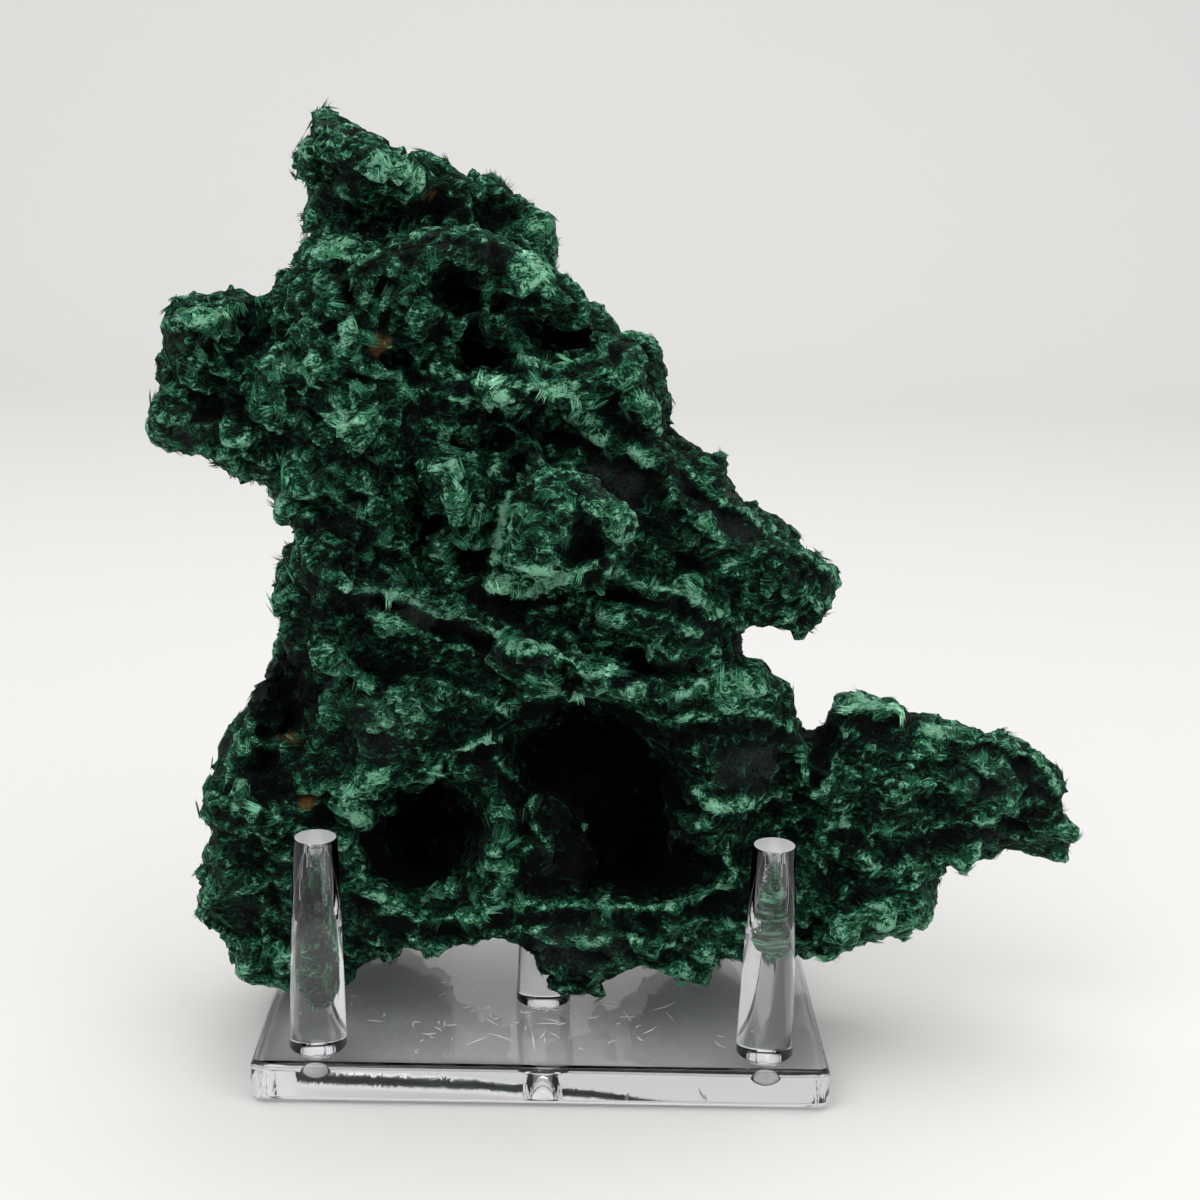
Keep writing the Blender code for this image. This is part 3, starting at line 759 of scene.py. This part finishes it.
def malachite_finish(settings):
    finish = Finish("fibrous_malachite")
    place = finish.place()
    wander = finish.wire("ShaderNodeTexNoise", "Color", None,
                         {"Vector": place, "Scale": 220.0, "Detail": 3.0})
    wander = finish.scaled(finish.vector_maths("SUBTRACT", wander, (0.5, 0.5, 0.5)), 0.006)
    bent = finish.vector_maths("ADD", place, wander)
    streak = fibre_streaks(finish, bent, 120.0)
    streak_fine = fibre_streaks(finish, bent, 260.0)
    drawn = finish.wire("ShaderNodeMapping", "Vector", None, {
        "Vector": bent, "Rotation": (0.0, math.radians(-SLOPE), 0.0), "Scale": (0.6, 1.0, 1.4)})
    crinkle = creases(finish, drawn, 330.0)
    crinkle_fine = creases(finish, drawn, 900.0)
    grain = finish.noise(place, 1900.0, 4.0, 0.75)
    blotch = finish.noise(place, 90.0, 4.0, 0.6)
    crust = finish.wire("ShaderNodeTexVoronoi", "Distance", {"feature": "DISTANCE_TO_EDGE"},
                        {"Vector": bent, "Scale": 330.0})
    rim = crust.span(0.12, 0.0)
    patch = finish.noise(place, 55.0, 2.0).span(0.46, 0.60)
    lines = crinkle * 0.40 + crinkle_fine * 0.34 + rim * patch * 0.20
    tone = finish.attribute("tone") + lines + streak * 0.40 + streak_fine * 0.30 + grain * 0.42
    colour = green_of(finish, tone + blotch * 0.46 - 1.14)
    grey = finish.attribute("grey") * grain.span(0.3, 0.7)
    colour = finish.mixed(grey, colour, (0.045, 0.058, 0.055, 1))
    colour = finish.mixed(finish.attribute("ochre"), colour, (0.24, 0.11, 0.03, 1))
    relief = streak * 0.5 + streak_fine * 0.4 + grain * 0.6 + crinkle * 0.6 + crinkle_fine * 0.4
    normal = finish.bump(relief - crust.span(0.0, 0.3) * patch * 0.5, 1.0, 0.0011)
    return finish.finish_with(Base_Color=colour, Roughness=0.6, Normal=normal, Specular_IOR_Level=0.09)


def creases(finish, place, scale):
    """A net of thin raised lines."""
    wave = finish.noise(place, scale, 4.0, 0.6)
    fold = 1 - finish.maths("ABSOLUTE", wave * 9.0 - 4.5, 0.0)
    return fold.span(0.0, 1.0)


def fibre_streaks(finish, place, scale):
    """Fibres that fan out from a centre in each cell of the stone."""
    cell = finish.node("ShaderNodeTexVoronoi", None, {"Vector": place, "Scale": scale})
    centre = Wire(finish, cell.outputs["Position"])
    shade = Wire(finish, cell.outputs["Color"])
    offset = finish.vector_maths("SUBTRACT", place, centre)
    aside = finish.scaled(finish.vector_maths("SUBTRACT", shade, (0.5, 0.5, 0.5)), 1.6 / scale)
    spoke = finish.vector_maths("NORMALIZE", finish.vector_maths("ADD", offset, aside), (0, 0, 0))
    seeded = finish.vector_maths("ADD", spoke, finish.scaled(shade, 9.0))
    return finish.noise(seeded, 11.0, 3.0, 0.65)


def clear_finish(settings, height, strength):
    """Clear acrylic whose surface waves with a height."""
    finish = height.finish
    return finish.finish_with(
        Base_Color=tuple(settings.tint) + (1,), Roughness=0.02, IOR=1.49,
        Transmission_Weight=1.0, Normal=finish.bump(height, strength, 0.0003))


def plate_finish(settings):
    finish = Finish("clear_plate")
    drawn = finish.wire("ShaderNodeMapping", "Vector", None, {
        "Vector": finish.place(), "Scale": (600.0, 40.0, 200.0), "Rotation": (0.0, 0.0, 0.7)})
    return clear_finish(settings, finish.noise(drawn, 1.0), 0.06)


def peg_finish(settings):
    """The pegs' turning marks get stronger towards the top."""
    finish = Finish("clear_peg")
    place = finish.place()
    drawn = finish.wire("ShaderNodeMapping", "Vector", None, {
        "Vector": place, "Scale": (90.0, 90.0, 700.0), "Rotation": (0.12, 0.08, 0.0)})
    height = finish.wire("ShaderNodeSeparateXYZ", "Z", None, {"Vector": place})
    marks = finish.noise(drawn, 1.0, 2.0) * (height.span(MARKS_BOTTOM, MARKS_TOP) * 0.9 + 0.06)
    return clear_finish(settings, marks, 0.2)


def top_finish(settings):
    finish = Finish("frosted_top")
    return finish.finish_with(Base_Color=tuple(settings.tint) + (1,), Roughness=0.5, IOR=1.49,
                              Transmission_Weight=0.55)


def scratch_finish():
    return Finish("scratched_plastic").finish_with(Base_Color=(0.93, 0.93, 0.94, 1), Roughness=0.35)


def box_of(mesh):
    points = points_of(mesh)
    return points.min(axis=0), points.max(axis=0)


def peg_axis(name):
    low, high = box_of(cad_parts[name].data)
    return (low + high) / 2


def turned(name, profile, centre):
    """A round piece from its profile's radii and heights."""
    bm = bmesh.new()
    verts = [bm.verts.new((centre[0] + radius, centre[1], height)) for radius, height in profile]
    edges = [bm.edges.new(pair) for pair in zip(verts, verts[1:])]
    bmesh.ops.spin(bm, geom=verts + edges, cent=(centre[0], centre[1], 0), axis=(0, 0, 1),
                   angle=math.tau, steps=PEG_SIDES, use_merge=True)
    bmesh.ops.remove_doubles(bm, verts=bm.verts, dist=1e-6)
    bmesh.ops.recalc_face_normals(bm, faces=bm.faces)
    for face in bm.faces:
        face.smooth = abs(face.normal.z) < 0.9
    return new_object(name, mesh_from(bm, name))


def make_peg(name, clear, frosted):
    """A turned peg in place of the faceted one, with its stub in the plate's hole."""
    low, high = box_of(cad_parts[name].data)
    foot = (high[0] - low[0]) / 2
    plate = box_of(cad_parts["stand_base"].data)[1][2]
    top = high[2]
    profile = [
        (0, low[2]), (STUB_RADIUS, low[2]), (STUB_RADIUS, plate), (foot - PEG_ROUND, plate),
        (foot - PEG_ROUND * 0.3, plate + PEG_ROUND * 0.3), (foot, plate + PEG_ROUND),
        (PEG_TOP_RADIUS, top - PEG_ROUND * 0.5), (PEG_TOP_RADIUS - PEG_ROUND * 0.5, top), (0, top),
    ]
    made = turned("turned_" + name, profile, peg_axis(name))
    made.data.materials.append(clear)
    made.data.materials.append(frosted)
    for polygon in made.data.polygons:
        polygon.material_index = int(polygon.center.z > top - 1e-6)
    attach(made, "root")
    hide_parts(name)


def make_plate(clear):
    """The plate with finely rounded rims, and a round-bottomed hole under each peg."""
    low, high = box_of(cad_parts["stand_base"].data)
    size = high - low
    bm = bmesh.new()
    place = Matrix.Translation((low + high) / 2) @ Matrix.Diagonal((*size, 1))
    bmesh.ops.create_cube(bm, size=1, matrix=place)
    upright = [edge for edge in bm.edges if abs(edge.verts[0].co.z - edge.verts[1].co.z) > size[2] / 2]
    bmesh.ops.bevel(bm, geom=upright, offset=PLATE_CORNER, offset_type="OFFSET", segments=8,
                    profile=0.5, affect="EDGES", material=-1)
    rims = [edge for edge in bm.edges if edge.calc_face_angle(0) > RIM_ANGLE]
    bmesh.ops.bevel(bm, geom=rims, offset=PLATE_EDGE, offset_type="OFFSET", segments=6,
                    profile=0.5, affect="EDGES", material=-1)
    plate = new_object("plate", mesh_from(bm, "plate"))
    ball = high[2] - HOLE_DEPTH + HOLE_RADIUS
    for name in PEGS:
        arc = []
        for step in range(1, BALL_STEPS):
            angle = math.pi / 2 * step / BALL_STEPS
            arc.append((HOLE_RADIUS * math.cos(angle), ball - HOLE_RADIUS * math.sin(angle)))
        mouth = high[2] + HOLE_RADIUS
        profile = [(0, mouth), (HOLE_RADIUS, mouth), (HOLE_RADIUS, ball), *arc, (0, high[2] - HOLE_DEPTH)]
        cutter = turned("hole", profile, peg_axis(name))
        hole = plate.modifiers.new("hole", "BOOLEAN")
        hole.operation = "DIFFERENCE"
        hole.object = cutter
        settled(plate)
        bpy.data.objects.remove(cutter)
    plate.data.shade_smooth()
    plate.data.set_sharp_from_angle(angle=CREASE_ANGLE)
    plate.data.materials.clear()
    plate.data.materials.append(clear)
    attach(plate, "root")
    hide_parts("stand_base")
    return high[2]


def make_scratches(settings, top):
    """Short pale scratches on the plate, most of them behind its middle."""
    draw = np.random.default_rng(SCRATCH_SEED)
    count = settings.scratches
    middle = np.stack((draw.normal(0.002, 0.022, count), draw.normal(-0.014, 0.009, count)), axis=1)
    middle = np.clip(middle, (-0.052, -0.033), (0.052, 0.030))
    angle = draw.uniform(0, math.pi, count)
    half = draw.lognormal(math.log(settings.scratch_length / 2), 0.5, count)
    along = np.stack((np.cos(angle), np.sin(angle)), axis=1)
    across = np.stack((-along[:, 1], along[:, 0]), axis=1) * settings.scratch_width / 2
    bend = across * draw.normal(0, 3.0, count)[:, None]
    outline = [
        middle - along * half[:, None] + bend, middle + across, middle + along * half[:, None] + bend,
        middle - across,
    ]
    rings = []
    for height in (top - SCRATCH_SINK, top + SCRATCH_RISE):
        for corner in outline:
            rings.append(np.column_stack((corner, np.full(count, height))))
    verts = np.stack(rings, axis=1).reshape(-1, 3)
    sides = [(side, (side + 1) % 4, (side + 1) % 4 + 4, side + 4) for side in range(4)]
    faces = np.array([(3, 2, 1, 0), (4, 5, 6, 7), *sides])
    faces = (np.arange(count)[:, None, None] * 8 + faces[None, :, :]).reshape(-1, 4)
    mesh = bpy.data.meshes.new("scratches")
    mesh.from_pydata(verts.tolist(), [], faces.tolist())
    bm = bmesh.new()
    bm.from_mesh(mesh)
    bmesh.ops.recalc_face_normals(bm, faces=bm.faces)
    bm.to_mesh(mesh)
    bm.free()
    mesh.materials.append(scratch_finish())
    made = new_object("scratches", mesh)
    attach(made, "root")


def make_stand(settings):
    top = make_plate(plate_finish(settings))
    clear = peg_finish(settings)
    frosted = top_finish(settings)
    for name in PEGS:
        make_peg(name, clear, frosted)
    make_scratches(settings, top)


def make_stage(settings):
    finish = Finish("studio_sweep")
    material = finish.finish_with(Base_Color=tuple(settings.floor_colour) + (1,), Roughness=0.8)
    bpy.context.scene.view_settings.view_transform = "Standard"
    bpy.context.scene.cycles.diffuse_bounces = 2
    bm = bmesh.new()
    depth = 1.4
    bend = 0.5
    profile = [(-1.2, 0.0), (depth - bend, 0.0)]
    for step in range(1, 13):
        angle = math.pi / 2 * step / 12
        profile.append((depth - bend + bend * math.sin(angle), bend - bend * math.cos(angle)))
    profile.append((depth, 2.5))
    verts = [bm.verts.new((-2.5, y, z)) for y, z in profile]
    edges = [bm.edges.new(pair) for pair in zip(verts, verts[1:])]
    swept = bmesh.ops.extrude_edge_only(bm, edges=edges)
    moved = [item for item in swept["geom"] if isinstance(item, bmesh.types.BMVert)]
    bmesh.ops.translate(bm, verts=moved, vec=(5.0, 0, 0))
    bmesh.ops.translate(bm, verts=bm.verts, vec=(0, 0, -FLOOR_GAP))
    bmesh.ops.recalc_face_normals(bm, faces=bm.faces)
    mesh = mesh_from(bm, "sweep")
    for polygon in mesh.polygons:
        polygon.use_smooth = True
    sweep = new_object("sweep", mesh)
    mesh.materials.append(material)

    add_light("key", (-0.5, -0.55, 0.95), (0, 0, 0.1), 0.7, settings.key_power)
    add_light("fill", (0.75, -0.6, 0.5), (0, 0, 0.1), 0.8, settings.fill_power)
    add_light("top", (0.1, 0.25, 1.2), (0, 0, 0.1), 0.9, settings.top_power)

    world = bpy.data.worlds.new("studio")
    world.use_nodes = True
    background = world.node_tree.nodes["Background"]
    background.inputs["Color"].default_value = (1, 1, 1, 1)
    background.inputs["Strength"].default_value = settings.room_light
    bpy.context.scene.world = world


def add_light(name, place, target, size, power):
    light = bpy.data.lights.new(name, "AREA")
    light.shape = "SQUARE"
    light.size = size
    light.energy = power
    made = new_object(name, light)
    made.location = place
    aim = Vector(target) - Vector(place)
    made.rotation_euler = aim.to_track_quat("-Z", "Y").to_euler()
    return made


def make_camera():
    right, up, forward = eye_axes()
    camera = bpy.data.cameras.new("camera")
    camera.lens = LENS
    camera.sensor_width = SENSOR
    camera.sensor_fit = "HORIZONTAL"
    camera.clip_start = 0.01
    camera.clip_end = 20.0
    made = new_object("camera", camera)
    turn = Matrix((right, up, -forward)).transposed().to_4x4()
    made.matrix_world = Matrix.Translation(EYE) @ turn
    bpy.context.scene.camera = made


class StoneSettings(bpy.types.PropertyGroup):
    grain: FloatProperty(name="Grain", description="Size of the stone's mesh", default=0.00116,
                         min=0.0005, unit="LENGTH", precision=5)
    relief: FloatProperty(name="Relief", description="Depth of the surface relief", default=1.0)
    # Dark is the colour the hollows get from their painted shade.
    dark: FloatVectorProperty(name="Dark", description="Colour in the hollows", subtype="COLOR",
                              default=(0.0024, 0.0115, 0.0075))
    green: FloatVectorProperty(name="Green", description="Main colour", subtype="COLOR",
                               default=(0.008, 0.058, 0.030))
    bright: FloatVectorProperty(name="Bright", description="Colour of the fibres", subtype="COLOR",
                                default=(0.034, 0.225, 0.108))
    mint: FloatVectorProperty(name="Mint", description="Colour of the crests", subtype="COLOR",
                              default=(0.31, 0.70, 0.46))


class FibreSettings(bpy.types.PropertyGroup):
    pieces: IntProperty(name="Pieces", description="Number of pieces of fibres", default=2)
    tufts: IntProperty(name="Tufts", description="Number of tufts in each piece", default=2400)
    fibres: IntProperty(name="Fibres", description="Number of fibres in a tuft", default=16)
    length: FloatProperty(name="Length", description="Length of a fibre", default=0.0028, unit="LENGTH",
                          precision=5)
    bundle: FloatProperty(name="Bundle", description="Width of a tuft", default=0.0018, unit="LENGTH",
                          precision=5)
    width: FloatProperty(name="Width", description="Half width of a fibre", default=0.00010, unit="LENGTH",
                         precision=5)


class StandSettings(bpy.types.PropertyGroup):
    tint: FloatVectorProperty(name="Tint", description="Colour of the clear plastic", subtype="COLOR",
                              default=(0.968, 0.97, 0.99))
    scratches: IntProperty(name="Scratches", description="Number of scratches on the plate", default=64)
    scratch_length: FloatProperty(name="Scratch length", description="Usual length of a scratch",
                                  default=0.0024, unit="LENGTH", precision=5)
    scratch_width: FloatProperty(name="Scratch width", description="Width of a scratch at its middle",
                                 default=0.00024, unit="LENGTH", precision=5)


class StageSettings(bpy.types.PropertyGroup):
    floor_colour: FloatVectorProperty(name="Floor", description="Colour of the sweep", subtype="COLOR",
                                      default=(0.70, 0.695, 0.685))
    key_power: FloatProperty(name="Key", description="Power of the key light", default=5.0, unit="POWER")
    fill_power: FloatProperty(name="Fill", description="Power of the fill light", default=3.0, unit="POWER")
    top_power: FloatProperty(name="Top", description="Power of the top light", default=5.0, unit="POWER")
    room_light: FloatProperty(name="Room", description="Strength of the even light", default=0.84)


class SPECIMEN_OT_stone(bpy.types.Operator):
    """Make the fibrous stone"""

    bl_idname = "specimen.stone"
    bl_label = "Stone"

    def execute(self, context):
        make_stone(context.scene.specimen_stone)
        return {"FINISHED"}


class SPECIMEN_OT_fibres(bpy.types.Operator):
    """Lay tufts of fibres on the stone"""

    bl_idname = "specimen.fibres"
    bl_label = "Fibres"

    def execute(self, context):
        for number in range(1, context.scene.specimen_fibres.pieces + 1):
            make_fibres(context.scene.specimen_fibres, f"fibres_{number}", number)
        return {"FINISHED"}


class SPECIMEN_OT_stand(bpy.types.Operator):
    """Finish the clear plate and pegs"""

    bl_idname = "specimen.stand"
    bl_label = "Stand"

    def execute(self, context):
        make_stand(context.scene.specimen_stand)
        return {"FINISHED"}


class SPECIMEN_OT_stage(bpy.types.Operator):
    """Make the sweep, the lights and the camera"""

    bl_idname = "specimen.stage"
    bl_label = "Stage"

    def execute(self, context):
        make_stage(context.scene.specimen_stage)
        make_camera()
        return {"FINISHED"}


class SPECIMEN_PT_panel(bpy.types.Panel):
    """The specimen's pieces and their settings"""

    bl_idname = "SPECIMEN_PT_panel"
    bl_label = "Malachite specimen"
    bl_space_type = "VIEW_3D"
    bl_region_type = "UI"
    bl_category = "Specimen"

    def draw(self, context):
        for title, name, operator in PANEL_ROWS:
            box = self.layout.box()
            box.label(text=title)
            settings = getattr(context.scene, name)
            for key in settings.__annotations__:
                box.prop(settings, key)
            box.operator(operator)


PANEL_ROWS = [
    ("Stone", "specimen_stone", "specimen.stone"),
    ("Fibres", "specimen_fibres", "specimen.fibres"),
    ("Stand", "specimen_stand", "specimen.stand"),
    ("Stage", "specimen_stage", "specimen.stage"),
]
GROUPS = [
    ("specimen_stone", StoneSettings),
    ("specimen_fibres", FibreSettings),
    ("specimen_stand", StandSettings),
    ("specimen_stage", StageSettings),
]
CLASSES = [
    StoneSettings, FibreSettings, StandSettings, StageSettings,
    SPECIMEN_OT_stone, SPECIMEN_OT_fibres, SPECIMEN_OT_stand, SPECIMEN_OT_stage, SPECIMEN_PT_panel,
]


def register():
    for item in CLASSES:
        bpy.utils.register_class(item)
    for name, group in GROUPS:
        setattr(bpy.types.Scene, name, PointerProperty(type=group))


def unregister():
    for name, _group in GROUPS:
        delattr(bpy.types.Scene, name)
    for item in reversed(CLASSES):
        bpy.utils.unregister_class(item)


def main():
    register()
    bpy.ops.specimen.stage()
    bpy.ops.specimen.stone()
    bpy.ops.specimen.fibres()
    bpy.ops.specimen.stand()


if __name__ == "__main__":
    main()
